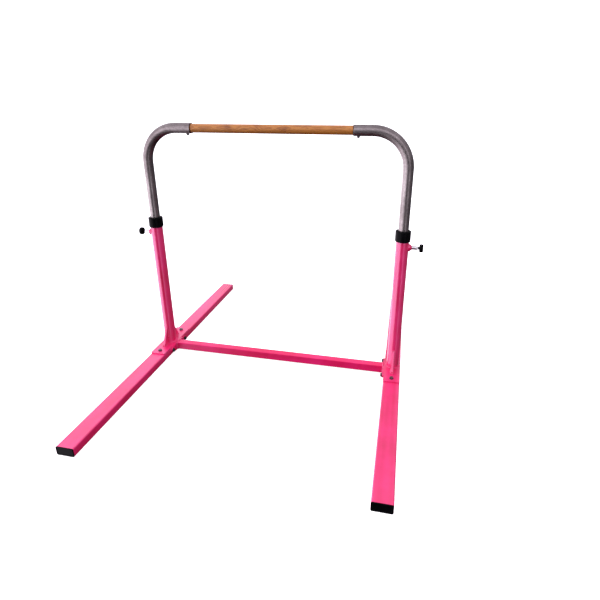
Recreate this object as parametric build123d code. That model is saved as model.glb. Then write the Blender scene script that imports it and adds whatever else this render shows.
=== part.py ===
from build123d import *
import os

# A junior kip bar: a wooden rail carried by two bent steel tubes, which slide in two posts.
# Each post stands on a long flat foot, and a cross beam ties the two feet together.
# Sizes are in millimetres. X runs along the rail, Y along the feet, and Z is up.
# The origin is on the floor, midway between the posts. side is -1 at the left and +1 at the right.

# ---- overall sizes ----
post_spacing = 1250.0         # between the two post axes
rail_height = 1200.0          # floor to the rail's axis, at the middle of the height range
foot_length = 1750.0          # over both end caps

# ---- feet ----
foot_width = 80.0
foot_height = 40.0
foot_wall = 3.0
foot_corner = 6.0             # outside corner radius of the tube
cap_flange = 4.0              # part of an end cap that shows
cap_plug = 28.0               # part of an end cap that is inside the tube
cap_plug_wall = 2.5
cap_fit = 0.1                 # between the plug and the tube's wall

# ---- base plates and gussets ----
plate_length = 300.0
plate_thickness = 6.0
plate_corner = 5.0
plate_bolt_offset = 123.0     # from the post axis to each bolt, along the foot
gusset_reach = 50.0           # from the post's surface to the gusset's toe
gusset_rise = 100.0
gusset_toe = 8.0              # height of the toe's upright edge
gusset_thickness = 10.0

# ---- posts and collars ----
post_room = 3.5               # between a sliding tube and its post's bore
post_wall = 2.5
post_top = 740.0              # floor to the post's upper end
collar_wall = 5.5             # outside the post
collar_above = 26.0           # collar above the post's end
collar_below = 26.0           # collar below the post's end, outside it
collar_skirt = 40.0           # guide sleeve below the post's end, inside it
collar_round = 5.0            # outer rims, limited by the wall at the sleeve
collar_mouth_round = 1.2      # where the tube enters
collar_fit = 0.15             # between the collar and the post

# ---- sliding bent tubes ----
tube_diameter = 48.0
tube_wall = 2.5
bend_radius = 160.0           # to the tube's centre line
leg_bottom = 325.0            # floor to the tube's lower end, at the middle of the height range
guide_gap = 0.1               # running clearance on the radius, in the collar and in the post
glide_height = 30.0
glide_floor = 5.0             # glide under the tube's end
glide_bore = 30.0
glide_fit = 0.05

# ---- height setting ----
hole_pitch = 75.0
hole_steps = 3                # settings above the middle one, and as many below
pin_height = 686.0            # floor to the pull pin's axis
pin_hole_gap = 0.3            # between the pin's nose and a hole, on the radius

# ---- rail ----
rail_diameter = 40.0
rail_visible = 758.0          # between the two rail bushes
rail_insert = 40.0            # length of rail held inside each tube, past the tube's end
bush_flange = 4.0
bush_flange_inset = 0.75      # from the tube's surface to the flange's rim
bush_wall = 1.4               # the least, between the rail and the tube
bush_fit = 0.05               # on the radius, inside and outside
screw_inset = 18.0            # from the tube's end to the rail screw
screw_diameter = 8.0
screw_head_diameter = 13.0
screw_head_height = 8.0
screw_grip = 19.0             # shank above the tube's underside

# ---- cross beam ----
beam_size = 40.0
beam_wall = 2.5
beam_corner = 3.0
beam_rise = 5.0               # beam's axis above the middle of the feet
flange_thickness = 8.0
flange_middle = 80.0          # full-height middle of the flange, along the foot
flange_ear = 12.0             # radius of the flange round each bolt
flange_corner = 3.0
flange_bolt_offset = 70.0     # from the beam's axis to each bolt, along the foot

# ---- pull pins, outwards from the post axis ----
pin_reach = 4.5               # nose past the tube's inner surface
pin_nose_diameter = 10.0
pin_nose_inset = 2.0          # nose's back end short of the boss's end
pin_rod_diameter = 5.0
pin_chamfer = 1.5
pin_gap = 0.1                 # running clearance on the radius
boss_diameter = 32.0
boss_length = 14.0
boss_chamfer = 7.0
barrel_shank_diameter = 14.0
barrel_shank_inset = 2.0      # from the post's surface to the shank's end
barrel_diameter = 17.0
barrel_length = 28.0
barrel_taper = 2.0
barrel_end_wall = 4.0
thread_gap = 0.1              # on the radius, between threaded pieces
spring_wire = 1.0
spring_diameter = 8.0         # to the wire's centre line
spring_turns = 7
spring_seat = 0.2             # between the spring and each of its seats
knob_diameter = 38.0
knob_hub_diameter = 13.0
knob_hub_length = 6.0
knob_length = 23.7
knob_round = 5.0
knob_gap = 0.3                # between the knob and the barrel's end
knob_bore_depth = 16.0

# ---- bolts, nuts and washers ----
bolt_diameter = 10.0
bolt_head_flats = 16.0
bolt_head_height = 6.4
nut_height = 8.0
washer_diameter = 20.0
washer_thickness = 2.0
bolt_hole_gap = 0.25          # on the radius
bolt_tail = 3.0               # thread past the nut

# ---- places worked out from the sizes above ----
post_x = post_spacing / 2
plate_top = foot_height + plate_thickness
collar_top = post_top + collar_above
tube_radius = tube_diameter / 2
tube_bore = tube_radius - tube_wall
post_bore = tube_radius + post_room
post_radius = post_bore + post_wall
tube_end = rail_visible / 2 + bush_flange
rail_end_radius = min(rail_diameter / 2, tube_bore - bush_wall - 2 * bush_fit)
beam_end = post_x - foot_width / 2 - flange_thickness
beam_axis = foot_height / 2 + beam_rise
pin_tip = tube_bore - pin_reach
boss_end = post_radius + boss_length
pin_nose_end = boss_end - pin_nose_inset
barrel_end = boss_end + barrel_length
knob_start = barrel_end + knob_gap
bolt_hole = bolt_diameter / 2 + bolt_hole_gap


def turned(points):
    """A solid of revolution about Z, from (radius, height) points."""
    return revolve(Plane.XZ * make_face(Polyline(*points, close=True)), Axis.Z)


def ring(outer, inner, bottom, top):
    """An upright round tube, from its two radii and its two heights."""
    return turned([(inner, bottom), (outer, bottom), (outer, top), (inner, top)])


def rod(radius, bottom, top):
    """An upright round bar."""
    return Pos(0, 0, (bottom + top) / 2) * Cylinder(radius, top - bottom)


def box_tube(width, height, wall, corner, length):
    """A rectangular tube along Z with rounded corners, centred on the origin."""
    section = RectangleRounded(width, height, corner)
    section -= RectangleRounded(width - 2 * wall, height - 2 * wall, corner - wall / 2)
    return extrude(section, length / 2, both=True)


def hexagon(flats, bottom, top):
    """An upright six-sided bar, from the width across its flats."""
    section = RegularPolygon(flats / 2, 6, major_radius=False, rotation=30)
    return Pos(0, 0, bottom) * extrude(section, top - bottom)


def bolt(grip):
    """A bolt with its head standing on z = 0 and its shank going down through the grip and the nut."""
    shank = rod(bolt_diameter / 2, -grip - nut_height - bolt_tail, 0)
    return shank + hexagon(bolt_head_flats, 0, bolt_head_height)


def washer():
    """A washer with its underside on z = 0."""
    return ring(washer_diameter / 2, bolt_hole, 0, washer_thickness)


def nut():
    """A nut with its upper face on z = 0."""
    body = hexagon(bolt_head_flats, -nut_height, 0)
    return body - rod(bolt_diameter / 2 + thread_gap, -nut_height - 1, 1)


def outward(side, height=pin_height):
    """Turns +Z to point away from the other post, starting at a post axis."""
    return Pos(side * post_x, 0, height) * Rot(0, 90 * side, 0)


def bolt_lines(offset):
    """The two places along a foot, before and behind the post, where bolts go."""
    return [-offset, offset]


# ---- the fixed base ----
def foot_tube(side):
    length = foot_length - 2 * cap_flange
    foot = Rot(90, 0, 0) * box_tube(foot_width, foot_height, foot_wall, foot_corner, length)
    foot = Pos(side * post_x, 0, foot_height / 2) * foot
    for y in bolt_lines(plate_bolt_offset):
        foot -= Pos(side * post_x, y, 0) * rod(bolt_hole, foot_height - foot_wall - 1, foot_height + 1)
    for y in bolt_lines(flange_bolt_offset):
        drill = rod(bolt_hole, foot_width / 2 - foot_wall - 1, foot_width / 2 + 1)
        foot -= Pos(side * post_x, y, beam_axis) * Rot(0, -90 * side, 0) * drill
    return foot


def foot_cap(side, end):
    inside_width = foot_width - 2 * (foot_wall + cap_fit)
    inside_height = foot_height - 2 * (foot_wall + cap_fit)
    inside_corner = foot_corner - foot_wall / 2
    flange = extrude(RectangleRounded(foot_width, foot_height, foot_corner), cap_flange)
    flange = chamfer(flange.faces().sort_by(Axis.Z)[-1].edges(), cap_flange / 4)
    plug = box_tube(inside_width, inside_height, cap_plug_wall, inside_corner, cap_plug)
    cap = flange + Pos(0, 0, -cap_plug / 2) * plug
    seat = foot_length / 2 - cap_flange
    return Pos(side * post_x, end * seat, foot_height / 2) * Rot(-90 * end, 0, 0) * cap


def base_plate(side):
    plate = extrude(RectangleRounded(foot_width, plate_length, plate_corner), plate_thickness)
    for y in bolt_lines(plate_bolt_offset):
        plate -= Pos(0, y, 0) * rod(bolt_hole, -1, plate_thickness + 1)
    return Pos(side * post_x, 0, foot_height) * plate


def post_tube(side):
    tube = ring(post_radius, post_bore, plate_top, post_top)
    hole = rod(pin_nose_diameter / 2 + pin_hole_gap, 0, 2 * post_radius)
    return Pos(side * post_x, 0, 0) * tube - outward(side) * hole


def gusset(side, end):
    toe = post_radius + gusset_reach
    outline = Polyline((0, plate_top), (end * toe, plate_top), (end * toe, plate_top + gusset_toe),
                       (end * post_radius, plate_top + gusset_rise), (0, plate_top + gusset_rise), close=True)
    plate = extrude(Plane.YZ * make_face(outline), gusset_thickness / 2, both=True)
    plate -= rod(post_radius, 0, post_top)
    return Pos(side * post_x, 0, 0) * plate


def post_collar(side):
    bore, skirt = tube_radius + guide_gap, post_bore - collar_fit
    sleeve = post_radius + collar_fit
    rim = sleeve + collar_wall
    profile = make_face(Polyline(
        (bore, post_top - collar_skirt), (skirt, post_top - collar_skirt), (skirt, post_top),
        (sleeve, post_top), (sleeve, post_top - collar_below), (rim, post_top - collar_below),
        (rim, collar_top), (bore, collar_top), close=True))
    profile = fillet(profile.vertices().group_by(Axis.X)[-1], min(collar_round, 0.9 * (rim - sleeve)))
    profile = fillet(profile.vertices().group_by(Axis.Y)[-1].sort_by(Axis.X)[0], collar_mouth_round)
    return Pos(side * post_x, 0, 0) * revolve(Plane.XZ * profile, Axis.Z)


def pin_boss(side):
    boss = rod(boss_diameter / 2, 0, boss_end)
    boss = chamfer(boss.edges().group_by(Axis.Z)[-1], boss_chamfer)
    boss = outward(side) * (boss - rod(barrel_shank_diameter / 2 + thread_gap, -1, boss_end + 1))
    return boss - Pos(side * post_x, 0, 0) * rod(post_radius, 0, post_top)


def pin_barrel(side):
    bore = pin_nose_diameter / 2 + pin_gap
    barrel = turned([
        (bore, post_radius + barrel_shank_inset), (barrel_shank_diameter / 2, post_radius + barrel_shank_inset),
        (barrel_shank_diameter / 2, boss_end), (barrel_diameter / 2, boss_end),
        (barrel_diameter / 2, barrel_end - 3 * barrel_taper), (barrel_diameter / 2 - barrel_taper, barrel_end),
        (pin_rod_diameter / 2 + pin_gap, barrel_end), (pin_rod_diameter / 2 + pin_gap, barrel_end - barrel_end_wall),
        (bore, barrel_end - barrel_end_wall)])
    return outward(side) * barrel


def pin_plunger(side):
    nose, stem = pin_nose_diameter / 2, pin_rod_diameter / 2
    stem_end = knob_start + knob_bore_depth
    plunger = turned([(0, pin_tip), (nose - pin_chamfer, pin_tip), (nose, pin_tip + pin_chamfer),
                      (nose, pin_nose_end), (stem, pin_nose_end), (stem, stem_end), (0, stem_end)])
    return outward(side) * plunger


def pin_spring(side):
    start = pin_nose_end + spring_seat + spring_wire / 2
    length = barrel_end - barrel_end_wall - spring_seat - spring_wire / 2 - start
    coil = Helix(length / spring_turns, length, spring_diameter / 2)
    wire = sweep(Plane(coil @ 0, z_dir=coil % 0) * Circle(spring_wire / 2), path=coil)
    return outward(side) * Pos(0, 0, start) * wire


def pin_knob(side):
    hub, rim = knob_hub_diameter / 2, knob_diameter / 2
    stem = pin_rod_diameter / 2 + thread_gap
    end = knob_start + knob_length
    profile = make_face(Polyline(
        (0, end), (rim, end), (rim, knob_start + knob_hub_length), (hub, knob_start + knob_hub_length),
        (hub, knob_start), (stem, knob_start), (stem, knob_start + knob_bore_depth),
        (0, knob_start + knob_bore_depth), close=True))
    rims = profile.vertices().filter_by(lambda v: v.X > rim - 0.1)
    profile = fillet(rims, knob_round)
    return outward(side) * revolve(Plane.XZ * profile, Axis.Z)


# ---- the cross beam and what fastens it ----
def cross_beam():
    beam = Rot(0, 90, 0) * box_tube(beam_size, beam_size, beam_wall, beam_corner, 2 * beam_end)
    return Pos(0, 0, beam_axis) * beam


def beam_flange(side):
    ears = [Pos(0, y) * Circle(flange_ear) for y in bolt_lines(flange_bolt_offset)]
    middle = RectangleRounded(beam_size, flange_middle, flange_corner)
    outline = make_hull(middle.edges() + ears[0].edges() + ears[1].edges())
    flange = extrude(outline, flange_thickness)
    for y in bolt_lines(flange_bolt_offset):
        flange -= Pos(0, y, 0) * rod(bolt_hole, -1, flange_thickness + 1)
    return Pos(side * beam_end, 0, beam_axis) * Rot(0, 90 * side, 0) * flange


def fastener(kind, place, clamped):
    """A bolt, washer or nut where a joint's surface is, with +Z out of it, through what it clamps."""
    if kind == "bolts":
        return place * Pos(0, 0, washer_thickness) * bolt(clamped + washer_thickness)
    return place * (washer() if kind == "washers" else Pos(0, 0, -clamped) * nut())


def beam_fasteners(kind):
    """Through the beam's flanges and the inner walls of the feet, with the nuts inside the feet."""
    for side in (-1, 1):
        for y in bolt_lines(flange_bolt_offset):
            place = Pos(side * beam_end, y, beam_axis) * Rot(0, -90 * side, 0)
            yield fastener(kind, place, flange_thickness + foot_wall)


def plate_fasteners(kind):
    """Down through the base plates and the upper walls of the feet, with the nuts inside the feet."""
    for side in (-1, 1):
        for y in bolt_lines(plate_bolt_offset):
            yield fastener(kind, Pos(side * post_x, y, plate_top), plate_thickness + foot_wall)


# ---- the sliding top frame ----
def bent_tube(side):
    path = FilletPolyline((side * tube_end, 0, rail_height), (side * post_x, 0, rail_height),
                          (side * post_x, 0, leg_bottom), radius=bend_radius)
    start = Plane((side * tube_end, 0, rail_height), z_dir=(side, 0, 0))
    tube = sweep(start * (Circle(tube_radius) - Circle(tube_bore)), path=path)
    for step in range(-hole_steps, hole_steps + 1):
        hole = rod(pin_nose_diameter / 2 + pin_hole_gap, 0, post_radius)
        tube -= outward(side, pin_height + step * hole_pitch) * hole
    drill = rod(screw_diameter / 2 + bolt_hole_gap, rail_height - tube_diameter, rail_height)
    return tube - Pos(side * (tube_end + screw_inset), 0, 0) * drill


def leg_glide(side):
    cup = turned([(glide_bore / 2, leg_bottom - glide_floor), (post_bore - guide_gap, leg_bottom - glide_floor),
                  (post_bore - guide_gap, leg_bottom - glide_floor + glide_height),
                  (tube_radius + glide_fit, leg_bottom - glide_floor + glide_height),
                  (tube_radius + glide_fit, leg_bottom), (glide_bore / 2, leg_bottom)])
    return Pos(side * post_x, 0, 0) * cup


def wooden_rail():
    rail = rod(rail_diameter / 2, -rail_visible / 2, rail_visible / 2)
    rail += rod(rail_end_radius, -tube_end - rail_insert, tube_end + rail_insert)
    rail = Pos(0, 0, rail_height) * Rot(0, 90, 0) * rail
    for side in (-1, 1):
        pilot = rod(screw_diameter / 2 + thread_gap, rail_height - rail_diameter,
                    rail_height - tube_radius + screw_grip + 1)
        rail -= Pos(side * (tube_end + screw_inset), 0, 0) * pilot
    return rail


def rail_bush(side):
    inner, outer, rim = rail_end_radius + bush_fit, tube_bore - bush_fit, tube_radius - bush_flange_inset
    bush = turned([(inner, -bush_flange), (rim, -bush_flange), (rim, 0),
                   (outer, 0), (outer, rail_insert), (inner, rail_insert)])
    bush = Pos(side * tube_end, 0, rail_height) * Rot(0, 90 * side, 0) * bush
    drill = rod(screw_diameter / 2 + bolt_hole_gap, rail_height - tube_diameter, rail_height)
    return bush - Pos(side * (tube_end + screw_inset), 0, 0) * drill


def rail_screw(side):
    seat = rail_height - tube_radius
    screw = rod(screw_diameter / 2, seat - 1, seat + screw_grip)
    screw += hexagon(screw_head_diameter, seat - screw_head_height, seat)
    return Pos(side * (tube_end + screw_inset), 0, 0) * screw


parts = {
    "cross_beam_tube": [cross_beam()],
    "wooden_rail": [wooden_rail()],
    "beam_bolts": list(beam_fasteners("bolts")),
    "beam_nuts": list(beam_fasteners("nuts")),
    "beam_washers": list(beam_fasteners("washers")),
    "plate_bolts": list(plate_fasteners("bolts")),
    "plate_nuts": list(plate_fasteners("nuts")),
    "plate_washers": list(plate_fasteners("washers")),
}
for name, side in (("left", -1), ("right", 1)):
    for maker in (foot_tube, base_plate, post_tube, post_collar, pin_boss, pin_barrel, pin_plunger,
                  pin_spring, pin_knob, beam_flange, bent_tube, leg_glide, rail_bush, rail_screw):
        parts[f"{name}_{maker.__name__}"] = [maker(side)]
    for place, end in (("front", -1), ("rear", 1)):
        parts[f"{name}_{place}_foot_cap"] = [foot_cap(side, end)]
        parts[f"{name}_{place}_gusset"] = [gusset(side, end)]

os.makedirs("parts", exist_ok=True)
for name, shapes in parts.items():
    solids = [solid for shape in shapes for solid in shape.solids()]
    export_step(solids[0] if len(solids) == 1 else Compound(children=solids), f"parts/{name}.step")
    print(name, len(solids))
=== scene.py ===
import math
import bpy
import numpy as np
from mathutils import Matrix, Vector


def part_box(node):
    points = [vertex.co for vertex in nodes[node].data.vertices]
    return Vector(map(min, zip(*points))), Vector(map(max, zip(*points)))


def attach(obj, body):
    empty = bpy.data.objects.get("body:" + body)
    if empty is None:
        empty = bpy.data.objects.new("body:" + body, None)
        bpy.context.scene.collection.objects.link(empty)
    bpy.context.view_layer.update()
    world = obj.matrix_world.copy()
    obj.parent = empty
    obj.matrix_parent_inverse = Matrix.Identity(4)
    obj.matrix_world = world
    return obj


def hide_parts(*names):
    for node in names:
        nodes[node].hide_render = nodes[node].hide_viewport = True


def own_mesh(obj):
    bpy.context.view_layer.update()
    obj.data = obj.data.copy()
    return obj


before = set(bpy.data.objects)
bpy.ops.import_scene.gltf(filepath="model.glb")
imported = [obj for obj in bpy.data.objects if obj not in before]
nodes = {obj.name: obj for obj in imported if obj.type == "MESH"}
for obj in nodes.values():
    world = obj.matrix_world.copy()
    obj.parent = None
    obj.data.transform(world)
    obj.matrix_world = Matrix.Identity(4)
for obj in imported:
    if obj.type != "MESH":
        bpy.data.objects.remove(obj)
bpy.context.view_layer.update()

# Looks of a junior kip bar. Units are metres, +X along the rail, +Y to the rear, +Z up.
scene = bpy.context.scene
sides = {"left": -1, "right": 1}


# measures taken from the frame
def nodeBox(name):
    # lowest and highest corner of a CAD node at rest
    low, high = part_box(name)
    return np.array(low), np.array(high)


postLow, postHigh = nodeBox("right_post_tube")
gussetLow, gussetHigh = nodeBox("right_rear_gusset")
bossLow, bossHigh = nodeBox("right_pin_boss")
beamLow, beamHigh = nodeBox("cross_beam_tube")
tubeLow, tubeHigh = nodeBox("right_bent_tube")
railLow, railHigh = nodeBox("wooden_rail")
capLow, capHigh = nodeBox("right_rear_foot_cap")
footEnd = nodeBox("right_foot_tube")[1][1]
flangeFace = nodeBox("right_beam_flange")[0][0]     # the side the beam is welded to
plateTop = nodeBox("right_base_plate")[1][2]
postX = (postLow[0] + postHigh[0]) / 2
postRadius = (postHigh[0] - postLow[0]) / 2
railHeight = (railLow[2] + railHigh[2]) / 2
tubeRadius = (tubeHigh[1] - tubeLow[1]) / 2
pinHeight = (bossLow[2] + bossHigh[2]) / 2
bossRadius = (bossHigh[1] - bossLow[1]) / 2
beamMiddle = (beamLow[2] + beamHigh[2]) / 2


# surfaces
def carried(points, ring=False):
    # a grid of points, rows along a path and columns round it: the columns close on themselves,
    # and so do the rows of a ring; otherwise each end closes on its middle point
    rows, columns = points.shape[:2]
    along = np.arange(rows if ring else rows - 1)[:, None]
    around = np.arange(columns)[None, :]
    beside = (around + 1) % columns
    ahead = (along + 1) % rows
    faces = np.stack(np.broadcast_arrays(along * columns + around, along * columns + beside,
                                         ahead * columns + beside, ahead * columns + around), -1)
    faces = faces.reshape(-1, 4)
    vertices = points.reshape(-1, 3)
    a, b, c, d = (vertices[faces[:, i]] - vertices.mean(0) for i in range(4))
    inward = (np.cross(a, b) * c).sum() + (np.cross(a, c) * d).sum() < 0
    ends = np.empty((0, 3), int)
    if not ring:
        count = len(vertices)
        around, beside = around[0], beside[0]
        last = (rows - 1) * columns
        ends = np.concatenate([np.stack([np.full(columns, count), beside, around], -1),
                               np.stack([np.full(columns, count + 1), last + around, last + beside], -1)])
        vertices = np.concatenate([vertices, points[:1].mean(1), points[-1:].mean(1)])
    if inward:
        faces, ends = faces[:, ::-1], ends[:, ::-1]
    return vertices, faces.tolist() + ends.tolist()


def makePiece(name, surfaces, look, body, replaced=(), sharp=35.0):
    # one smooth object from several closed surfaces, its edges sharp past an angle in degrees
    vertices, faces, start = [], [], 0
    for points, corners in surfaces:
        vertices.append(points)
        faces += [[start + i for i in face] for face in corners]
        start += len(points)
    mesh = bpy.data.meshes.new(name)
    mesh.from_pydata(np.concatenate(vertices).tolist(), [], faces)
    mesh.polygons.foreach_set("use_smooth", np.ones(len(faces), bool))
    mesh.set_sharp_from_angle(angle=math.radians(sharp))
    mesh.materials.append(look)
    piece = bpy.data.objects.new(name, mesh)
    scene.collection.objects.link(piece)
    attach(piece, body)
    if replaced:
        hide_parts(*replaced)
    return piece


def unit(vectors):
    # each vector divided by its length
    return vectors / np.linalg.norm(vectors, axis=-1, keepdims=True)


def evenly(points, step, ring=False):
    # the same line with its points at even steps: each is read off at count parts of the whole length
    if ring:
        points = np.concatenate([points, points[:1]])
    reach = np.concatenate([[0.0], np.linalg.norm(np.diff(points, axis=0), axis=1).cumsum()])
    count = max(int(round(reach[-1] / step)), 8)
    places = np.linspace(0.0, reach[-1], count + 1)[:count + (not ring)]
    return np.stack([np.interp(places, reach, points[:, i]) for i in range(3)], 1)


def turned(profile, place, axis, side, columns=72, flats=None):
    # a profile of (radius, height) turned round an axis: place + height * axis + radius * outwards.
    # Where flats has a width, the radius is no more than a hexagon's of that width across its flats,
    # (width / 2) / cos(angle from the nearest flat's middle)
    angle = np.arange(columns) * 2 * math.pi / columns
    axis, side = np.array(axis, float), np.array(side, float)
    radius, height = (np.array(profile, float)[:, i][:, None] + 0 * angle for i in range(2))
    if flats is not None:
        fromFlat = (angle + math.pi / 6) % (math.pi / 3) - math.pi / 6
        radius = np.minimum(radius, np.array(flats)[:, None] / 2 / np.cos(fromFlat))
    out = np.cos(angle)[:, None] * side + np.sin(angle)[:, None] * np.cross(axis, side)
    return carried(np.array(place) + height[..., None] * axis + radius[..., None] * out)


# node helpers
def addNode(tree, kind, inputs=None, **settings):
    # a shader node; an input that is a socket is linked, any other is set
    node = tree.nodes.new("ShaderNode" + kind)
    for name, value in settings.items():
        setattr(node, name, value)
    for name, value in (inputs or {}).items():
        if isinstance(value, bpy.types.NodeSocket):
            tree.links.new(value, node.inputs[name])
        else:
            node.inputs[name].default_value = value
    return node


def newLook(name, **settings):
    # a material with its Principled shader, uniform numbers set on the shader's own sockets
    look = bpy.data.materials.new(name)
    look.use_nodes = True
    shader = look.node_tree.nodes["Principled BSDF"]
    for socket, value in settings.items():
        shader.inputs[socket.replace("_", " ")].default_value = value
    return look, look.node_tree, shader


def objectPoint(tree, stretch=(1, 1, 1)):
    # Object coordinates times a stretch along X, Y and Z
    where = addNode(tree, "TexCoord")
    return addNode(tree, "Mapping", {"Vector": where.outputs["Object"], "Scale": stretch}).outputs[0]


def noise(tree, point, scale, detail=2.0, rough=0.5, distortion=0.0):
    # cloudy numbers from 0 to 1, scale patches to the metre
    inputs = {"Vector": point, "Scale": scale, "Detail": detail, "Roughness": rough}
    inputs["Distortion"] = distortion
    return addNode(tree, "TexNoise", inputs).outputs["Fac"]


def ramp(tree, factor, stops):
    # a colour ramp from (place, colour) stops
    node = addNode(tree, "ValToRGB", {"Fac": factor})
    stops = list(stops)
    elements = node.color_ramp.elements
    while len(elements) < len(stops):
        elements.new(0.5)
    for element, (place, colour) in zip(elements, stops):
        element.position = place
        element.color = (*colour, 1)
    return node.outputs["Color"]


def spread(tree, factor, low, high, fromLow=0.0, fromHigh=1.0):
    # low + (high - low) * (factor - fromLow) / (fromHigh - fromLow), kept between low and high
    inputs = {"Value": factor, "From Min": fromLow, "From Max": fromHigh, "To Min": low, "To Max": high}
    return addNode(tree, "MapRange", inputs).outputs["Result"]


def calc(tree, operation, first, second=0.0):
    # one step of arithmetic on numbers or sockets
    return addNode(tree, "Math", {0: first, 1: second}, operation=operation).outputs[0]


def total(tree, *parts):
    # the sum of any count of numbers or sockets
    result = parts[0]
    for part in parts[1:]:
        result = calc(tree, "ADD", result, part)
    return result


def mixColour(tree, factor, first, second):
    # first * (1 - factor) + second * factor
    node = addNode(tree, "Mix", data_type="RGBA")
    for place, value in ((0, factor), (6, first), (7, second)):
        if isinstance(value, bpy.types.NodeSocket):
            tree.links.new(value, node.inputs[place])
        else:
            node.inputs[place].default_value = value if place == 0 else (*value, 1)
    return node.outputs[2]


def bump(tree, shader, height, depth, strength=1.0):
    # the surface raised by height * depth in metres
    inputs = {"Height": height, "Distance": depth, "Strength": strength}
    tree.links.new(addNode(tree, "Bump", inputs).outputs["Normal"], shader.inputs["Normal"])


# powder coat
paintColours = {
    "deep": (0.68, 0.0070, 0.072),
    "middle": (0.80, 0.0115, 0.122),
    "light": (0.88, 0.0220, 0.175),
    "clouds": 7.0,          # patches to the metre
    "lines": 42.0,          # faint lines to the metre, across the piece
    "lineShare": 0.4,       # of the tone; clouds make the rest
    "tones": (0.34, 0.50, 0.66),
    "peel": 430.0,          # orange peel to the metre
    "peelDepth": 0.00010,
    "roughness": (0.27, 0.38),
    "ior": 1.66,            # with the full specular level, a mirror share of 12 % head on
    "tint": (1.0, 0.60, 1.0),       # the violet cast of what it mirrors
    "coat": 0.35,
    "coatRoughness": 0.14,
}


def paintLook(name, along, gloss=1.0):
    # pink powder coat: cloudy colour, faint lines along one axis, orange peel in the surface
    k = paintColours
    look, tree, shader = newLook(name, IOR=k["ior"], Specular_IOR_Level=gloss, Specular_Tint=(*k["tint"], 1),
                                 Coat_Weight=k["coat"] * gloss, Coat_Roughness=k["coatRoughness"])
    point = objectPoint(tree)
    lined = objectPoint(tree, tuple(0.03 if axis == along else 1.0 for axis in "XYZ"))
    clouds = noise(tree, point, k["clouds"], 4.0, 0.55)
    lines = noise(tree, lined, k["lines"], 2.0, 0.5)
    tone = total(tree, calc(tree, "MULTIPLY", clouds, 1 - k["lineShare"]),
                 calc(tree, "MULTIPLY", lines, k["lineShare"]))
    colour = ramp(tree, tone, zip(k["tones"], (k["deep"], k["middle"], k["light"])))
    tree.links.new(colour, shader.inputs["Base Color"])
    tree.links.new(spread(tree, lines, *k["roughness"], 0.3, 0.7), shader.inputs["Roughness"])
    bump(tree, shader, noise(tree, point, k["peel"], 1.5, 0.4), k["peelDepth"], 0.5)
    return look


# zinc-plated tube
zincColours = {
    "dark": (0.100, 0.083, 0.083),
    "middle": (0.222, 0.196, 0.194),
    "light": (0.370, 0.337, 0.332),
    "tones": (0.30, 0.50, 0.70),
    "bend": 0.16,           # from the corner of a tube's middle line to the middle of its bend
    "drawLines": 620.0,     # lines to the metre, round the tube
    "clouds": 11.0,
    "spangle": 120.0,
    "roughness": (0.32, 0.46),
    "lineDepth": 0.00004,
}


def zincLook(name, bendStart, bendHeight):
    # plated steel whose draw lines follow the tube: they change only with y and with
    # sqrt(over^2 + rise^2), where over = |x| past the bend's start, and rise = z past it
    k = zincColours
    look, tree, shader = newLook(name, Metallic=1.0)
    point = objectPoint(tree)
    parts = addNode(tree, "SeparateXYZ", {"Vector": point})
    over = calc(tree, "SUBTRACT", calc(tree, "ABSOLUTE", parts.outputs["X"]), bendStart)
    over = calc(tree, "MAXIMUM", over)
    rise = calc(tree, "MAXIMUM", calc(tree, "SUBTRACT", parts.outputs["Z"], bendHeight))
    square = total(tree, calc(tree, "MULTIPLY", over, over), calc(tree, "MULTIPLY", rise, rise))
    section = addNode(tree, "CombineXYZ", {"X": calc(tree, "SQRT", square), "Y": parts.outputs["Y"]})
    lines = noise(tree, section.outputs[0], k["drawLines"], 2.0, 0.7)
    clouds = noise(tree, point, k["clouds"], 4.0, 0.6, 0.4)
    spangle = noise(tree, point, k["spangle"], 2.0, 0.5)
    tone = mixColour(tree, 0.30, mixColour(tree, 0.35, clouds, spangle), lines)
    colour = ramp(tree, tone, zip(k["tones"], (k["dark"], k["middle"], k["light"])))
    tree.links.new(colour, shader.inputs["Base Color"])
    bright, dull = k["roughness"]
    tree.links.new(spread(tree, tone, dull, bright, 0.35, 0.65), shader.inputs["Roughness"])
    bump(tree, shader, lines, k["lineDepth"], 0.35)
    return look


# wooden rail
woodColours = {
    "pale": (0.62, 0.258, 0.046),
    "middle": (0.43, 0.148, 0.019),
    "dark": (0.24, 0.070, 0.008),
    "pore": (0.085, 0.024, 0.004),
    "tones": (0.08, 0.42, 0.92),
    "ringWidth": 0.0038,
    "lean": -0.35,          # how far the rings' faces lean up from facing the front
    "flame": 0.0011,        # depth of the rings' waves along the rail
    "flameLength": 0.090,
    "flameShift": 12.0,     # uneven places of the waves, in radians
    "drift": 0.009,         # slow wander of the rings, in metres
    "swell": 0.010,         # bulge of the rings round a knot
    "rings": 0.30,          # share of late wood in the tone
    "fibres": 0.40,
    "dashes": 34.0,         # soft dark dashes to the metre, across the rail
    "dashDepth": 0.42,
    "pores": 260.0,
    "poreDepth": 0.6,
    "knots": 6.0,
    "knotDepth": 0.85,
    "grainDepth": 0.00018,
    "roughness": (0.36, 0.52),
}


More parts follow.
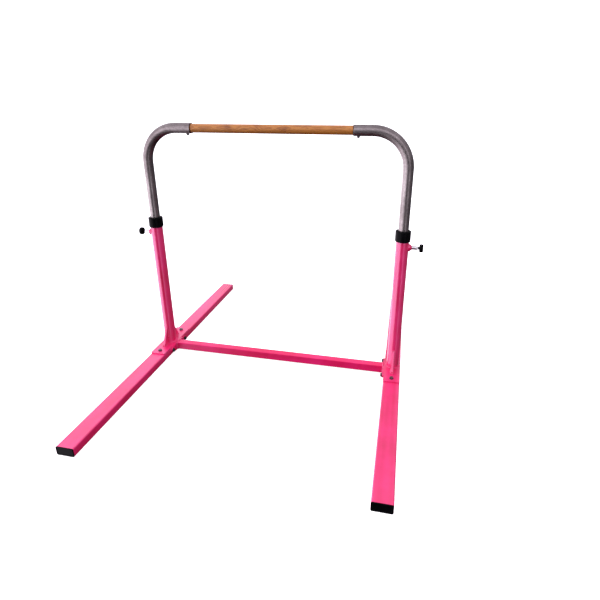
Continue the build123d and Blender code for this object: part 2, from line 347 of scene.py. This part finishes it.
def woodLook(name):
    # oiled hardwood sawn near its side: rings in flat layers that wave along the rail, so that they
    # cut its front in flames and its top in lines; soft dashes, fine dark pores and a few small knots.
    # layer = y + lean * z + flame * sin(turn) + drift * wander + swell near a knot
    k = woodColours
    look, tree, shader = newLook(name, Coat_Weight=0.15, Coat_Roughness=0.3)
    point = objectPoint(tree)
    parts = addNode(tree, "SeparateXYZ", {"Vector": point})
    x, y, z = (parts.outputs[axis] for axis in "XYZ")
    knot = addNode(tree, "TexVoronoi", {"Vector": objectPoint(tree, (1.0, 3.2, 3.2)), "Scale": k["knots"]})
    knot = knot.outputs["Distance"]
    wander = noise(tree, objectPoint(tree, (0.16, 1.0, 1.0)), 14.0, 2.0, 0.5)
    turn = total(tree, calc(tree, "MULTIPLY", x, 2 * math.pi / k["flameLength"]),
                 calc(tree, "MULTIPLY", noise(tree, point, 9.0, 2.0, 0.5), k["flameShift"]))
    layer = total(tree, y, calc(tree, "MULTIPLY", z, k["lean"]),
                  calc(tree, "MULTIPLY", calc(tree, "SINE", turn), k["flame"]),
                  calc(tree, "MULTIPLY", wander, k["drift"]),
                  calc(tree, "MULTIPLY", spread(tree, knot, 1.0, 0.0, 0.04, 0.40), k["swell"]))
    ring = calc(tree, "FRACT", calc(tree, "DIVIDE", layer, k["ringWidth"]))
    late = calc(tree, "MULTIPLY", spread(tree, ring, 0.0, 1.0, 0.25, 0.86),
                spread(tree, ring, 1.0, 0.0, 0.90, 1.0))
    fibre = noise(tree, objectPoint(tree, (0.035, 1.0, 1.0)), 420.0, 3.0, 0.65)
    pores = noise(tree, objectPoint(tree, (0.055, 1.0, 1.0)), k["pores"], 2.0, 0.5)
    poreMask = spread(tree, pores, 0.0, 1.0, 0.60, 0.70)
    dashes = noise(tree, objectPoint(tree, (0.42, 1.0, 1.0)), k["dashes"], 2.0, 0.6)
    grain = total(tree, calc(tree, "MULTIPLY", late, k["rings"]),
                  calc(tree, "MULTIPLY", fibre, k["fibres"]),
                  spread(tree, dashes, 0.0, k["dashDepth"], 0.54, 0.70))
    colour = ramp(tree, grain, zip(k["tones"], (k["pale"], k["middle"], k["dark"])))
    colour = mixColour(tree, calc(tree, "MULTIPLY", poreMask, k["poreDepth"]), colour, k["pore"])
    heart = spread(tree, knot, 1.0, 0.0, 0.02, 0.10)
    colour = mixColour(tree, calc(tree, "MULTIPLY", heart, k["knotDepth"]), colour, k["pore"])
    tree.links.new(colour, shader.inputs["Base Color"])
    tree.links.new(spread(tree, fibre, *k["roughness"], 0.3, 0.7), shader.inputs["Roughness"])
    bump(tree, shader, calc(tree, "SUBTRACT", fibre, poreMask), k["grainDepth"], 0.5)
    return look


# plastics
plasticColours = {
    "black": (0.0020, 0.0020, 0.0026),
    "knob": (0.0015, 0.0015, 0.0020),
    "bush": (0.030, 0.014, 0.011),
    "specular": 0.045,
    "texture": 1500.0,      # moulded texture to the metre
    "textureDepth": 0.00006,
    "flow": 16.0,           # flow patches to the metre
    "shades": (0.7, 1.6),   # darkest and lightest of them, as parts of the colour
}


def plasticLook(name, colour, roughness, textured):
    # moulded plastic: faint flow patches in colour and gloss, fine spark texture in the surface
    k = plasticColours
    look, tree, shader = newLook(name, Specular_IOR_Level=k["specular"])
    point = objectPoint(tree)
    flow = noise(tree, point, k["flow"], 3.0, 0.5)
    dark, light = (tuple(share * c for c in colour) for share in k["shades"])
    tree.links.new(ramp(tree, flow, [(0.3, dark), (0.7, light)]), shader.inputs["Base Color"])
    rough = spread(tree, flow, roughness - 0.06, roughness + 0.08, 0.3, 0.7)
    tree.links.new(rough, shader.inputs["Roughness"])
    bump(tree, shader, noise(tree, point, k["texture"], 2.0, 0.5), k["textureDepth"], textured)
    return look


# steel of the pins, springs and fasteners
steelColours = {
    "plate": ((0.46, 0.45, 0.47), (0.80, 0.79, 0.81)),
    "spring": ((0.22, 0.215, 0.22), (0.42, 0.41, 0.42)),
    "oxide": ((0.016, 0.014, 0.016), (0.060, 0.052, 0.058)),
    # a lighter, violet-tinted copy of the black oxide: painted highlight standing in for the light on the
    # plate bolts' heads
    "paintedHighlight": ((0.050, 0.036, 0.042), (0.230, 0.190, 0.205)),
    "marks": 260.0,         # tool marks to the metre
    "stains": 95.0,
    "markDepth": 0.00003,
}


def steelLook(name, colours, roughness, along="X", metallic=1.0):
    # turned or formed steel: fine tool marks round the axis, small stains in colour and gloss
    k = steelColours
    look, tree, shader = newLook(name, Metallic=metallic)
    turnedPoint = objectPoint(tree, tuple(6.0 if axis == along else 0.2 for axis in "XYZ"))
    marks = noise(tree, turnedPoint, k["marks"], 2.0, 0.6)
    stains = noise(tree, objectPoint(tree), k["stains"], 3.0, 0.55)
    tone = mixColour(tree, 0.4, stains, marks)
    tree.links.new(ramp(tree, tone, zip((0.32, 0.62), colours)), shader.inputs["Base Color"])
    rough = spread(tree, tone, roughness + 0.1, roughness - 0.05, 0.3, 0.7)
    tree.links.new(rough, shader.inputs["Roughness"])
    bump(tree, shader, marks, k["markDepth"], 0.4)
    return look


paintX, paintY, paintZ = (paintLook("pinkPaintAlong" + axis, axis) for axis in "XYZ")
beamPaint = paintLook("satinPinkPaint", "X", 0.30)
zinc = zincLook("zincTube", postX - zincColours["bend"], railHeight - zincColours["bend"])
wood = woodLook("oiledRail")
blackPlastic = plasticLook("blackPlastic", plasticColours["black"], 0.40, 0.5)
knobPlastic = plasticLook("knobPlastic", plasticColours["knob"], 0.26, 0.15)
bushPlastic = plasticLook("bushPlastic", plasticColours["bush"], 0.42, 0.4)
pinSteel = steelLook("pinSteel", steelColours["plate"], 0.20)
springSteel = steelLook("springSteel", steelColours["spring"], 0.35)
oxideAcross = steelLook("blackOxideAcross", steelColours["oxide"], 0.36, "X", 0.85)
oxideUp = steelLook("blackOxideUp", steelColours["oxide"], 0.36, "Z", 0.85)
# the plate bolts' oxide, lighter all over: painted highlight for their lit heads
litOxideUp = steelLook("paintedLitOxideUp", steelColours["paintedHighlight"], 0.34, "Z", 0.85)
print("materials:", len(bpy.data.materials))

# the look of each CAD node, by the end of its name
finish = {
    "foot_tube": paintY, "base_plate": paintY, "post_tube": paintZ, "gusset": paintZ,
    "pin_boss": paintX, "beam_flange": paintZ, "cross_beam_tube": beamPaint,
    "foot_cap": blackPlastic, "post_collar": blackPlastic, "leg_glide": blackPlastic,
    "pin_knob": knobPlastic, "rail_bush": bushPlastic, "wooden_rail": wood, "bent_tube": zinc,
    "pin_barrel": pinSteel, "pin_plunger": pinSteel, "pin_spring": springSteel, "rail_screw": oxideUp,
    "beam_bolts": oxideAcross, "beam_nuts": oxideAcross, "beam_washers": oxideAcross,
    # plate fasteners: black oxide with a painted highlight
    "plate_bolts": litOxideUp, "plate_nuts": litOxideUp, "plate_washers": litOxideUp,
}
for name, node in nodes.items():
    look = next(finish[end] for end in finish if name.endswith(end))
    node.data.materials.clear()
    node.data.materials.append(look)


# weld beads
weld = {
    "postLeg": 0.0046,      # half-width of the bead round a post's foot
    "gussetLeg": 0.0034,
    "bossLeg": 0.0026,
    "beamLeg": 0.0034,
    "depth": 0.0012,        # how far a bead goes into a post's wall
    "beamCorner": 0.003,
    "pitch": 0.0046,        # from one ripple to the next
    "ripple": 0.12,         # height of a ripple, as a part of the half-width
    "bow": 1.1,             # how far a ripple's sides trail, in radians
    "drift": 0.10,          # slow change of width, as a part of the half-width
    "columns": 14,
    "stepsPerRipple": 6,
    "sharp": 80.0,          # degrees, so that ripples stay smooth
}


def bead(path, across, leg, ring=False):
    # a round bead carried along a path: half-width * (1 + ripple * cos(2 pi length / pitch
    # + bow * cos angle) + drift * a slow wave), drawn in to nothing at the ends of an open path
    k = weld
    path = evenly(path, k["pitch"] / k["stepsPerRipple"], ring)
    ahead = unit(np.roll(path, -1, 0) - np.roll(path, 1, 0) if ring else np.gradient(path, axis=0))
    side = np.broadcast_to(across, path.shape)
    side = unit(side - (side * ahead).sum(1, keepdims=True) * ahead)
    up = np.cross(ahead, side)
    count = len(path)
    turns = max(round(count / k["stepsPerRipple"]), 1)
    phase = 2 * math.pi * np.arange(count)[:, None] / count
    angle = (np.arange(k["columns"]) * 2 * math.pi / k["columns"])[None, :]
    wave = k["ripple"] * np.cos(turns * phase + k["bow"] * np.cos(angle - math.pi / 4))
    slow = k["drift"] * (np.sin(3 * phase + 0.7) + np.sin(7 * phase + 2.1)) / 2
    radius = leg * (1 + wave + slow)
    if not ring:
        radius = radius * np.sqrt(1 - np.abs(np.linspace(-0.998, 0.998, count)[:, None]) ** 12)
    return carried(path[:, None] + radius[..., None] * (np.cos(angle)[..., None] * side[:, None]
                                                        + np.sin(angle)[..., None] * up[:, None]), ring)


def circleAround(radius, count=240):
    # radius * cos and radius * sin of even angles
    turn = np.arange(count) * 2 * math.pi / count
    return radius * np.cos(turn), radius * np.sin(turn)


def weldedPost(side):
    # beads round the foot of one post, round its gussets' seams, and round its pin boss, each
    # carried along the line where the two welded surfaces meet
    middle = side * postX
    x, y = circleAround(postRadius)
    surfaces = [bead(np.stack([middle + x, y, plateTop + 0 * x], 1), (0, 0, 1), weld["postLeg"], True)]
    half = (gussetHigh[0] - gussetLow[0]) / 2
    toe, top = gussetHigh[1], gussetHigh[2]
    for end in (-1, 1):
        # along the plate: out on one side, round the toe, and back on the other
        outline = np.array([(half, postRadius), (half, toe), (-half, toe), (-half, postRadius)])
        path = np.stack([middle + outline[:, 0], end * outline[:, 1], plateTop + 0 * outline[:, 0]], 1)
        surfaces.append(bead(path, (0, 0, 1), weld["gussetLeg"]))
        # along the post: up one side, over the top, and down the other
        rise = np.linspace(0, 1, 40)
        over = np.concatenate([np.stack([half + 0 * rise, plateTop + (top - plateTop) * rise], 1),
                               np.stack([half - 2 * half * rise[1:-1], top + 0 * rise[1:-1]], 1),
                               np.stack([-half + 0 * rise, top - (top - plateTop) * rise], 1)])
        depth = np.sqrt(postRadius ** 2 - over[:, 0] ** 2)
        path = np.stack([middle + over[:, 0], end * depth, over[:, 1]], 1)
        surfaces.append(bead(path, (0, end, 0), weld["gussetLeg"]))
    # the boss meets the post on the line where x = sqrt(post radius^2 - y^2)
    y, z = circleAround(bossRadius)
    path = np.stack([middle + side * np.sqrt(postRadius ** 2 - y ** 2), y, pinHeight + z], 1)
    surfaces.append(bead(path, (side, 0, 0), weld["bossLeg"], True))
    # no bead reaches into the bore: distance from the post's axis = max(distance, radius - depth)
    for points, faces in surfaces:
        away = points[:, :2] - (middle, 0)
        reach = np.linalg.norm(away, axis=1, keepdims=True)
        points[:, :2] = (middle, 0) + away * np.maximum(1, (postRadius - weld["depth"]) / reach)
    return surfaces


def roundedLoop(halfWidth, halfHeight, corner, count=12):
    # a rounded rectangle as four quarter circles joined by straight lines
    turn = np.linspace(0, math.pi / 2, count)[None, :] + np.arange(4)[:, None] * math.pi / 2
    middle = np.array([(1, 1), (-1, 1), (-1, -1), (1, -1)])[:, None, :]
    middle = middle * np.array([halfWidth - corner, halfHeight - corner])
    return (middle + corner * np.stack([np.cos(turn), np.sin(turn)], -1)).reshape(-1, 2)


def weldedBeam(side):
    # a bead round the beam where it meets its flange
    half = (beamHigh[1] - beamLow[1]) / 2
    loop = roundedLoop(half, half, weld["beamCorner"])
    path = np.stack([side * beamHigh[0] + 0 * loop[:, 0], loop[:, 0], beamMiddle + loop[:, 1]], 1)
    return [bead(path, (side, 0, 0), weld["beamLeg"], True)]


for sideName, side in sides.items():
    makePiece(sideName + "_post_welds", weldedPost(side), paintX, "base", sharp=weld["sharp"])
    makePiece(sideName + "_beam_weld", weldedBeam(side), paintX, "base", sharp=weld["sharp"])
print("weld beads on both posts and both ends of the beam")


# hexagon bolts and rail screws
fastener = {
    "washer": 0.002,
    "headHeight": 0.0064,
    "chamfer": 0.55,        # fall of the chamfer from the flats' middle to a corner, as a part of its width
    "shankRadius": 0.005,
    "plainShare": 0.45,     # part of the shank without thread
    "threadDepth": 0.0006,
    "pitch": 0.0015,
    "rowsPerPitch": 6,
    "dish": 0.0005,         # hollow in the middle of a head
}


def boltProfile(length, flats):
    # from the top of the head down: dished top, chamfer, six flats, bearing face, plain shank, then a
    # thread whose radius is shank - depth * (1 - cos(2 pi height / pitch)) / 2
    k = fastener
    rim, head, shank = flats / 2, k["headHeight"], k["shankRadius"]
    corner = rim / math.cos(math.pi / 6)
    slope = (corner - rim * 0.96) * k["chamfer"]
    edge = rim * 0.99
    rows = [(rim * 0.30, head - k["dish"]), (rim * 0.62, head - k["dish"]), (rim * 0.70, head - 0.0001),
            (rim * 0.78, head), (rim * 0.94, head), (edge, head - slope * 0.12)]
    rows += [(edge + (corner - edge) * t, head - slope * (0.12 + 0.88 * t)) for t in (0.25, 0.5, 0.75, 1.0)]
    rows += [(corner, 0.0004), (rim * 0.97, 0.0)]
    headRows = len(rows)
    plain = length * k["plainShare"]
    rows += [(shank, 0.0), (shank, -plain)]
    depth = np.linspace(plain, length, int((length - plain) / k["pitch"] * k["rowsPerPitch"]))
    wave = shank - k["threadDepth"] * (1 - np.cos(2 * math.pi * depth / k["pitch"])) / 2
    rows += list(zip(wave, -depth)) + [(shank * 0.7, -length - 0.0006)]
    return rows, [flats] * headRows + [1.0] * (len(rows) - headRows)


def setOfBolts(node, name, look):
    # the four bolts of a CAD node, each with its head at the node's own place and as wide as it
    low, high = nodeBox(node)
    k = fastener
    surfaces = []
    for side in (-1, 1):
        for end in (-1, 1):
            if node == "plate_bolts":
                flats = 2 * (high[0] - postX)
                place = (side * postX, end * (high[1] - flats / math.sqrt(3)), plateTop + k["washer"])
                axis, across = (0, 0, 1), (1, 0, 0)
                length = place[2] - low[2]
            else:
                flats = high[2] - low[2]
                place = (side * (flangeFace - k["washer"]), end * (high[1] - flats / math.sqrt(3)),
                         (low[2] + high[2]) / 2)
                axis, across = (-side, 0, 0), (0, 0, 1)
                length = high[0] - abs(place[0])
            rows, widths = boltProfile(length - 0.0006, flats)
            surfaces.append(turned(rows, place, axis, across, flats=widths))
    return makePiece(name, surfaces, look, "base", (node,))


# the plate bolts take the oxide with the painted highlight
setOfBolts("plate_bolts", "plate_hex_bolts", litOxideUp)
setOfBolts("beam_bolts", "beam_hex_bolts", oxideAcross)


railFixing = {
    "rim": 0.92,            # radius of the head, as a part of half its box
    "domeFoot": 0.45,       # where the dome starts and the socket ends, as a part of the head's height
    "domeRows": 9,
    "socketFlats": 0.0040,
    "socketRadius": 0.0030,
    "mouth": 0.0036,        # radius of the socket's countersunk mouth
    "shankRadius": 0.0036,
    "tipRadius": 0.0020,
    "tipLength": 0.001,
}


def railScrew(side):
    # from below: socket of six flats, domed head, then the shank up into the rail. The dome is
    # (rim * sin t, -head * (foot + (1 - foot) * cos t))
    k = railFixing
    name = "left_rail_screw" if side < 0 else "right_rail_screw"
    low, high = nodeBox(name)
    rim = (high[1] - low[1]) / 2 * k["rim"]
    seat = railHeight - tubeRadius
    head, top = seat - low[2], high[2] - seat
    foot, mouth, shank = k["domeFoot"], k["mouth"], k["shankRadius"]
    rows = [(0.0005, -head * foot), (k["socketRadius"], -head * foot), (k["socketRadius"], -head * 0.90),
            (mouth, -head * 0.975)]
    widths = [k["socketFlats"]] * 3
    turn = np.linspace(0.18, math.pi / 2, k["domeRows"])
    dome = zip(rim * np.sin(turn), -head * (foot + (1 - foot) * np.cos(turn)))
    rows += [(radius, height) for radius, height in dome if radius > mouth + 0.0002]
    rows += [(rim, -head * 0.1), (rim * 0.97, 0.0), (shank, 0.0), (shank, top - k["tipLength"]),
             (k["tipRadius"], top)]
    widths += [1.0] * (len(rows) - len(widths))
    piece = turned(rows, ((low[0] + high[0]) / 2, 0, seat), (0, 0, 1), (1, 0, 0), flats=widths)
    makePiece(name.replace("screw", "socket_screw"), [piece], oxideUp, "top_frame",
              (name,))


for side in (-1, 1):
    railScrew(side)
print("bolts and rail screws")


# rounded ends of the bent tubes
lip = {
    "wall": 0.0025,         # thickness of the tube's wall
    "around": 120,
    "columns": 12,
}


def tubeLip(side):
    # a ring of half the wall's thickness, carried round the tube's end:
    # centre + wall / 2 * (cos turn * outwards + sin turn * along the tube)
    half = lip["wall"] / 2
    y, z = circleAround(tubeRadius - half, lip["around"])
    turn = np.arange(lip["columns"]) * 2 * math.pi / lip["columns"]
    out = np.stack([0 * y, y, z], 1) / (tubeRadius - half)
    centre = np.stack([side * tubeLow[0] + 0 * y, y, railHeight + z], 1)
    cos, sin = np.cos(turn)[None, :, None], np.sin(turn)[None, :, None]
    return carried(centre[:, None] + half * (cos * out[:, None] + sin * np.array([side, 0, 0])), True)


for sideName, side in sides.items():
    makePiece(sideName + "_tube_lip", [tubeLip(side)], zinc, "top_frame", sharp=80.0)


# moulded end caps of the feet
footCap = {
    "corner": 0.006,
    "edge": 0.0014,         # rounding of the outer edge
    "panelInset": 0.0065,   # from the edge to the sunk panel
    "panelDepth": 0.0007,
    "panelSlope": 0.0006,
    "plugInset": 0.0034,    # from the flange's rim to the plug
    "plugChamfer": (0.0015, 0.001),
    "ribs": 3,              # grip ribs round the plug
    "ribHeight": 0.0008,
}


def mouldedCap(end, side):
    # rounded rectangles carried along the foot, drawn in by an inset: plug with grip ribs, flange,
    # rounded edge, sunk panel. Inset of the ribs = plug + rib * (1 - cos(2 pi ribs t)) / 2
    k = footCap
    halfWidth, halfHeight = (capHigh[0] - capLow[0]) / 2, (capHigh[2] - capLow[2]) / 2
    outer, inner, seat = capHigh[1], capLow[1], footEnd
    narrower, longer = k["plugChamfer"]
    t = np.linspace(0, 1, 25)
    ribs = k["plugInset"] + k["ribHeight"] / 2 * (1 - np.cos(2 * math.pi * k["ribs"] * t))
    turn = np.linspace(0, math.pi / 2, 6)
    floor, inset = outer - k["panelDepth"], k["panelInset"]
    rows = [(k["plugInset"] + narrower, inner)]
    rows += zip(ribs, inner + longer + (seat - inner - longer) * t)
    rows += [(0.0002, seat), (0.0, seat + 0.0002)]
    rows += zip(k["edge"] * (1 - np.cos(turn)), outer - k["edge"] * (1 - np.sin(turn)))
    rows += [(inset, outer), (inset + k["panelSlope"], floor), (inset + 0.004, floor)]
    rows += [(halfHeight - 0.001, floor)]
    loops = []
    for inset, depth in rows:
        loop = roundedLoop(halfWidth - inset, halfHeight - inset, max(k["corner"] - inset, 0.0008))
        loops.append(np.stack([side * postX + loop[:, 0], end * depth + 0 * loop[:, 0],
                               (capLow[2] + capHigh[2]) / 2 + loop[:, 1]], 1))
    return carried(np.stack(loops))


for sideName, side in sides.items():
    for endName, end in (("front", -1), ("rear", 1)):
        corner = sideName + "_" + endName
        makePiece(corner + "_moulded_cap", [mouldedCap(end, side)], blackPlastic, "base",
                  (corner + "_foot_cap",))
print("tube lips and end caps")


# pull-pin knobs
pullKnob = {
    "hub": 0.342,           # radius of the hub, as a part of the disc's
    "hubLength": 0.006,
    "hubEdge": 0.0005,
    "bore": 0.0028,         # radius of the rod it is screwed to
    "fillet": 0.002,        # between hub and disc
    "rounding": 0.005,      # of the disc's edges
    "dish": 0.52,           # radius of the dish, as a part of the disc's
    "dishDepth": 0.0005,
}


def knob(side):
    # a hub and a rounded disc turned round the pin, with a shallow dish in the outer face. Both
    # edges are quarter circles, radius = rim - rounding * (1 - sin t or cos t)
    k = pullKnob
    name = "left_pin_knob" if side < 0 else "right_pin_knob"
    low, high = nodeBox("right_pin_knob")
    rim, start, end = (high[1] - low[1]) / 2, low[0], high[0]
    hub, disc, edge = rim * k["hub"], start + k["hubLength"], k["hubEdge"]
    turn = np.linspace(0, math.pi / 2, 9)
    rise, fall = 1 - np.cos(turn), 1 - np.sin(turn)
    rows = [(k["bore"], start), (hub - edge, start), (hub, start + edge), (hub, disc - k["fillet"])]
    rows += zip(hub + k["fillet"] * rise[1:], disc - k["fillet"] * fall[1:])
    rows += zip(rim - k["rounding"] * fall, disc + k["rounding"] * rise)
    rows += zip(rim - k["rounding"] * rise, end - k["rounding"] * fall)
    rows += [(rim * k["dish"], end), (rim * (k["dish"] - 0.04), end - k["dishDepth"]),
             (rim * 0.1, end - k["dishDepth"] - 0.0001)]
    rows = [(radius, height - start) for radius, height in rows]
    piece = turned(rows, (side * start, 0, pinHeight), (side, 0, 0), (0, 0, 1))
    makePiece(name.replace("pin_knob", "pull_knob"), [piece], knobPlastic,
              name.replace("_knob", ""), (name,))


for side in (-1, 1):
    knob(side)
print("pull-pin knobs")


# springs of the pull pins
pinSpring = {
    "wire": 0.001,
    "turns": 7,
    "seat": 0.0002,         # gap between the spring and the barrel's end wall
    "travel": 0.012,        # pull of the pin
    "stepsPerTurn": 48,
    "columns": 12,
    "endSharpness": 300,    # the higher, the shorter the rounded ends of the wire
}


def coilSpring(side):
    # a wire carried along a helix: the angle is 2 pi * turns * part of the length, and the wire's
    # radius is drawn in to nothing at both ends
    k = pinSpring
    name = "left_pin_spring" if side < 0 else "right_pin_spring"
    low, high = nodeBox("right_pin_spring")
    part = np.linspace(0, 1, k["turns"] * k["stepsPerTurn"] + 1)
    turn = 2 * math.pi * k["turns"] * part
    out = np.stack([0 * turn, np.cos(turn), np.sin(turn)], 1)
    start, length = low[0] + k["wire"] / 2, high[0] - low[0] - k["wire"]
    path = out * ((high[1] - low[1] - k["wire"]) / 2)
    path = path + np.stack([side * (start + length * part), 0 * part, pinHeight + 0 * part], 1)
    ahead = unit(np.gradient(path, axis=0))
    up = np.cross(ahead, out)
    angle = (np.arange(k["columns"]) * 2 * math.pi / k["columns"])[None, :, None]
    fromMiddle = np.abs(np.linspace(-0.9995, 0.9995, len(part)))[:, None, None]
    thick = k["wire"] / 2 * np.sqrt(1 - fromMiddle ** k["endSharpness"])
    points = path[:, None] + thick * (np.cos(angle) * out[:, None] + np.sin(angle) * up[:, None])
    piece = makePiece(name.replace("spring", "coil_spring"), [carried(points)], springSteel,
                      "base", (name,))
    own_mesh(piece)


for side in (-1, 1):
    coilSpring(side)
print("pin springs")


# floor, light and camera
studio = {
    "floorHalf": 40.0,
    "floorColour": (0.93, 0.93, 0.93, 1),
    "floorGlow": 0.80,      # the floor's own light, seen by the camera only
    "skyColour": (1, 0.94, 1.05, 1),
    "skySeen": 1.2,         # how bright the sky itself looks
    "cameraPlace": (0.6120, -2.0329, 1.3173),
    "yaw": -12.23,          # degrees from +Y, to the right
    "pitch": -21.74,        # degrees above the horizon
    "lens": 26.77,
    "shift": (-0.0113, -0.0349),
}

# parts of the light that falls on a surface, and of the light that is mirrored in it. Below is the
# part left where a ray goes steeply down, and fall the heights it is lost between
softLight = {
    "dim": 0.42, "left": 1.65, "above": 1.00, "behind": 0.35, "right": 0.0, "front": 0.0, "door": 0.0,
    "below": 0.06, "fall": (-0.50, 0.0),
}
glossLight = {
    "dim": 0.03, "left": 3.10, "above": 0.85, "behind": 0.30, "right": 0.15, "front": 1.4, "door": 1.7,
    "below": 0.10, "fall": (-0.80, -0.45),
}

# where each window of the sky begins and ends, along an axis of the ray's direction
windows = {
    "leftX": (-0.50, -0.28), "leftZ": (0.10, 0.45),
    "frontY": (-0.85, -0.60), "frontZ": (0.12, 0.30),
    "aboveZ": (0.05, 0.75), "behindY": (0.72, 1.0), "rightX": (0.55, 0.85),
    "doorX": ((0.40, 0.52), (0.60, 0.72)), "doorY": (-0.70, -0.50),
}


def makeFloor():
    # a flat square at z = 0, seen by the camera only: the sky's lower half gives the light from below
    half = studio["floorHalf"]
    mesh = bpy.data.meshes.new("floor")
    corners = [(-half, -half, 0), (half, -half, 0), (half, half, 0), (-half, half, 0)]
    mesh.from_pydata(corners, [], [(0, 1, 2, 3)])
    floor = bpy.data.objects.new("floor", mesh)
    scene.collection.objects.link(floor)
    look = newLook("paleFloor", Roughness=1.0, Specular_IOR_Level=0.0, Base_Color=studio["floorColour"],
                   Emission_Color=(1, 1, 1, 1), Emission_Strength=studio["floorGlow"])[0]
    floor.visible_diffuse = False
    floor.visible_glossy = False
    mesh.materials.append(look)


def skyStrength(tree, where, light):
    # (dim + each window * its part of the light) * what is left of it towards the ground, each
    # window a straight slope from 0 to 1 along the ray's direction
    x, y, z = (where.outputs[axis] for axis in "XYZ")
    k = windows
    left = calc(tree, "MULTIPLY", spread(tree, x, 1.0, 0.0, *k["leftX"]),
                spread(tree, z, 1.0, 0.2, *k["leftZ"]))
    front = calc(tree, "MULTIPLY", spread(tree, y, 1.0, 0.0, *k["frontY"]),
                 spread(tree, z, 0.0, 1.0, *k["frontZ"]))
    start, end = k["doorX"]
    door = calc(tree, "MULTIPLY", spread(tree, x, 0.0, 1.0, *start), spread(tree, x, 1.0, 0.0, *end))
    door = calc(tree, "MULTIPLY", door, spread(tree, y, 1.0, 0.0, *k["doorY"]))
    lobes = {"left": left, "front": front, "above": spread(tree, z, 0.0, 1.0, *k["aboveZ"]),
             "behind": spread(tree, y, 0.0, 1.0, *k["behindY"]),
             "right": spread(tree, x, 0.0, 1.0, *k["rightX"]), "door": door}
    parts = [calc(tree, "MULTIPLY", lobe, light[name]) for name, lobe in lobes.items()]
    bright = total(tree, light["dim"], *parts)
    return calc(tree, "MULTIPLY", bright, spread(tree, z, light["below"], 1.0, *light["fall"]))


def makeSky():
    # a wide window wall at the left and a pale ceiling; dim at the right, and white to the camera.
    # strength = soft + mirrored ray * (gloss - soft)
    world = bpy.data.worlds.new("softSky")
    world.use_nodes = True
    world.cycles.sampling_method = "NONE"
    scene.world = world
    tree = world.node_tree
    background = tree.nodes["Background"]
    where = addNode(tree, "SeparateXYZ", {"Vector": addNode(tree, "TexCoord").outputs["Generated"]})
    path = addNode(tree, "LightPath")
    soft = skyStrength(tree, where, softLight)
    gloss = skyStrength(tree, where, glossLight)
    mirrored = calc(tree, "MULTIPLY", path.outputs["Is Glossy Ray"], calc(tree, "SUBTRACT", gloss, soft))
    seen = calc(tree, "MULTIPLY", path.outputs["Is Camera Ray"], studio["skySeen"])
    strength = calc(tree, "MAXIMUM", calc(tree, "ADD", soft, mirrored), seen)
    tree.links.new(strength, background.inputs["Strength"])
    background.inputs["Color"].default_value = studio["skyColour"]


def makeCamera():
    # the camera looks along (sin yaw cos pitch, cos yaw cos pitch, sin pitch)
    yaw, pitch = math.radians(studio["yaw"]), math.radians(studio["pitch"])
    ahead = Vector((math.sin(yaw) * math.cos(pitch), math.cos(yaw) * math.cos(pitch), math.sin(pitch)))
    data = bpy.data.cameras.new("camera")
    data.lens = studio["lens"]
    data.shift_x, data.shift_y = studio["shift"]
    camera = bpy.data.objects.new("camera", data)
    scene.collection.objects.link(camera)
    camera.location = studio["cameraPlace"]
    camera.rotation_euler = ahead.to_track_quat("-Z", "Y").to_euler()
    scene.camera = camera


makeFloor()
makeSky()
makeCamera()
scene.view_settings.view_transform = "Standard"
print("studio: floor, sky and camera")
